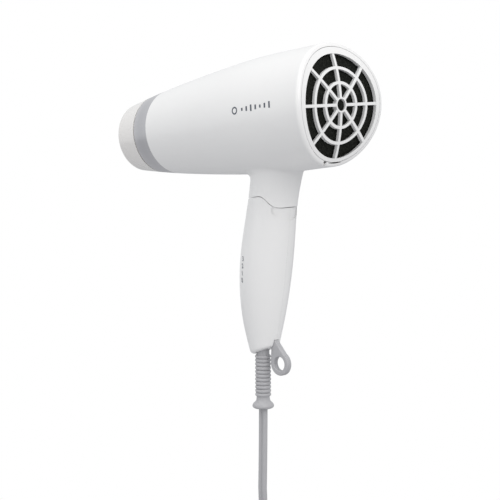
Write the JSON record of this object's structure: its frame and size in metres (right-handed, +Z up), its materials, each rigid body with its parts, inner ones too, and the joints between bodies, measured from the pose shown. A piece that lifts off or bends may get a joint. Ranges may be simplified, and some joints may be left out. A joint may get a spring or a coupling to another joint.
{
  "type": "hair dryer",
  "caption": "Folding hair dryer with a tapered barrel, a round web-shaped intake grille, a slanted handle with a slide switch, a hanging loop and a flat mains cord.",
  "frame": {"origin": "middle of the grip, on the handle's centreline", "axes": "+Z up along the grip, +X along the barrel towards its intake, outlet towards -X, +Y completes a right-handed frame"},
  "size_m": [0.2049, 0.1062, 0.4439],
  "materials": {
    "white_gloss": "smooth gloss",
    "silver_paint": "satin metallic paint",
    "pearl_paint": "pearl gloss paint",
    "inner_grille": "matt heat-resistant",
    "filter_mesh": "open black mesh",
    "duct_plastic": "moulded matt",
    "motor_steel": "plated",
    "circuit_board": "brown laminate",
    "mica": "pressed mica",
    "heating_wire": "resistance wire",
    "thermal_parts": "plated",
    "wire_sleeve": "fibreglass sleeve",
    "switch_grey": "fine matt",
    "grey_pvc": "soft satin PVC",
    "tie_black": "matt",
    "plug_brass": "bright"
  },
  "bodies": {
    "handle": {"handle_left": "white_gloss", "handle_right": "white_gloss", "handle_screws": "motor_steel", "hinge_pin": "motor_steel", "hinge_washers": "motor_steel", "switch_plate": "switch_grey", "switch_case": "duct_plastic", "strain_relief": "grey_pvc", "hang_loop": "grey_pvc", "power_cord": "grey_pvc", "cord_end": "grey_pvc", "cord_coil": "grey_pvc", "cord_tie": "tie_black", "plug_body": "grey_pvc", "plug_blades": "plug_brass", "inner_cord": "grey_pvc", "cord_clamp": "duct_plastic", "clamp_screws": "motor_steel", "handle_leads": "wire_sleeve"},
    "barrel": {"barrel_shell": "white_gloss", "band_ring": "silver_paint", "outlet_tip": "pearl_paint", "outlet_grille": "inner_grille", "fan_duct": "duct_plastic", "motor_can": "motor_steel", "rectifier_board": "circuit_board", "diodes": "circuit_board", "heat_shield": "mica", "mica_board_upright": "mica", "mica_board_level": "mica", "heater_coils": "heating_wire", "thermostat": "thermal_parts", "thermal_fuse": "thermal_parts", "barrel_leads": "wire_sleeve"},
    "fan": {"motor_shaft": "motor_steel", "fan_impeller": "duct_plastic"},
    "cover": {"intake_cover": "white_gloss", "dust_filter": "filter_mesh"},
    "knob": {"switch_knob": "switch_grey"}
  },
  "joints": [
    {"name": "handle_fold", "type": "hinge", "parent": "handle", "child": "barrel", "pos_m": [0.0058, 0, 0.0455], "axis": [0, -1, 0], "range_deg": [0, 90]},
    {"name": "fan_spin", "type": "hinge", "parent": "barrel", "child": "fan", "pos_m": [0.0645, 0, 0.11], "axis": [1, 0, 0], "continuous": true},
    {"name": "cover_pull", "type": "slide", "parent": "barrel", "child": "cover", "axis": [1, 0, 0], "range_m": [0, 0.03]},
    {"name": "switch_slide", "type": "slide", "parent": "handle", "child": "knob", "axis": [0.2351, 0, 0.972], "range_m": [0, 0.015]}
  ]
}
